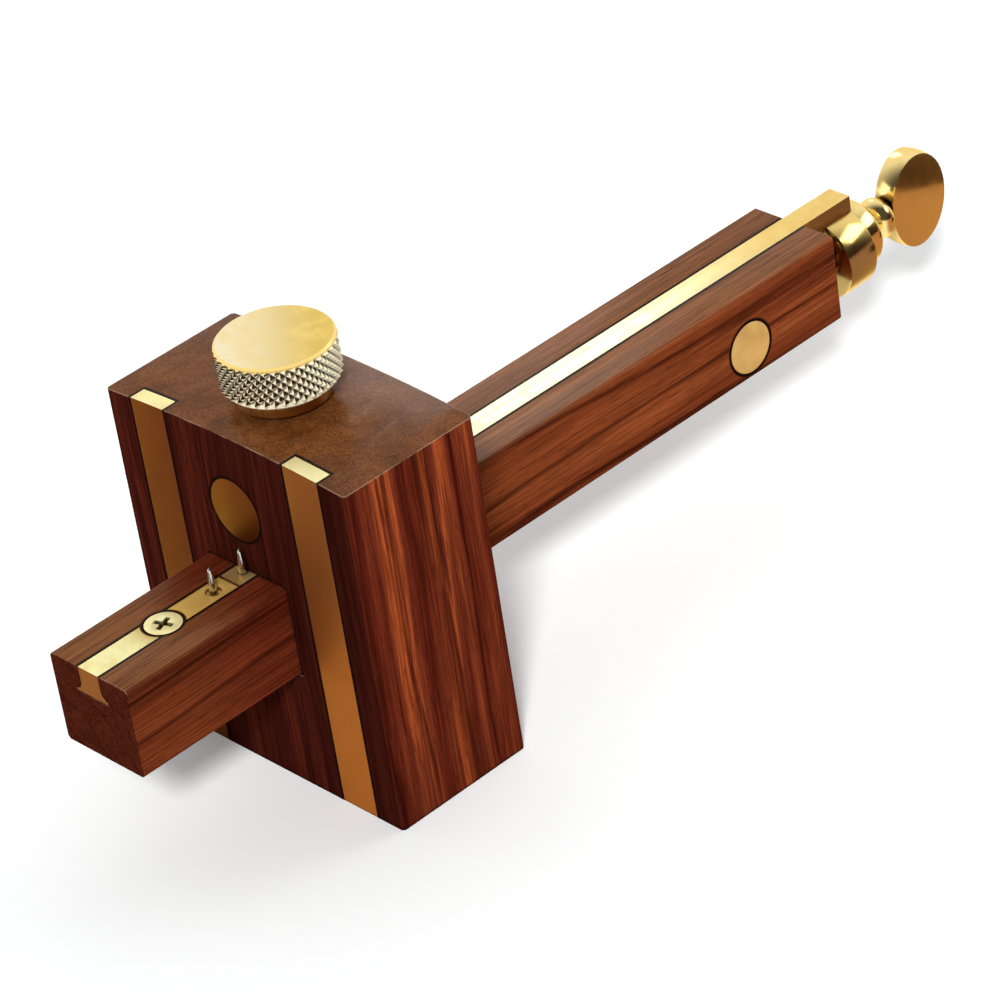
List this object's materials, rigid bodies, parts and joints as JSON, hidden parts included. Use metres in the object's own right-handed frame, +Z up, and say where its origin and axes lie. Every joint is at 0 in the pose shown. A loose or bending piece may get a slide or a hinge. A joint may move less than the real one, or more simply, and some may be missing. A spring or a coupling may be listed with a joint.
{
  "type": "mortise gauge",
  "caption": "Woodworker's gauge: a stock slides along a stem and is clamped by a knurled screw, and a thumb turn sets the gap between the marking pins.",
  "frame": {"origin": "centre of the stock's base", "axes": "+Y along the stem towards the thumb turn, +Z up towards the knurled head, -Y out of the fence face"},
  "size_m": [0.0576, 0.2022, 0.0773],
  "materials": {
    "rosewood": "polished",
    "brass": "polished",
    "steel": "ground"
  },
  "bodies": {
    "stock": {"stock_block": "rosewood", "wear_strip_left": "brass", "wear_strip_right": "brass", "clamp_barrel_nut": "brass"},
    "slide": {"slide_bar": "brass", "slide_lug": "brass", "moving_pin": "steel"},
    "stem": {"stem_beam": "rosewood", "fixed_strip": "brass", "strip_screw": "brass", "fixed_pin": "steel", "stem_barrel_nut": "brass"},
    "adjuster": {"adjusting_screw": "steel", "retaining_collar": "brass", "collar_pin": "steel", "thumb_turn": "brass"},
    "clamp_shoe": {"pressure_shoe": "brass"},
    "thumbscrew": {"clamp_stud": "steel", "knurled_head": "brass"}
  },
  "joints": [
    {"name": "stem_travel", "type": "slide", "parent": "stock", "child": "slide", "axis": [0, 1, 0], "range_m": [-0.083, 0]},
    {"name": "pin_spread", "type": "slide", "parent": "slide", "child": "stem", "axis": [0, -1, 0], "range_m": [0, 0.02]},
    {"name": "adjuster_turn", "type": "hinge", "parent": "slide", "child": "adjuster", "pos_m": [0, 0.1293, 0.0307], "axis": [0, 1, 0], "range_deg": [0, 7200]},
    {"name": "shoe_lift", "type": "slide", "parent": "stock", "child": "clamp_shoe", "axis": [0, 0, 1], "range_m": [0, 0.0015]},
    {"name": "clamp_turn", "type": "hinge", "parent": "clamp_shoe", "child": "thumbscrew", "pos_m": [0, 0, 0.067], "axis": [0, 0, 1], "range_deg": [0, 540]}
  ],
  "couplings": [
    {"joint": "pin_spread", "follows": "adjuster_turn", "m_per_rad": 0.00015915},
    {"joint": "shoe_lift", "follows": "clamp_turn", "m_per_rad": 0.00015915}
  ]
}
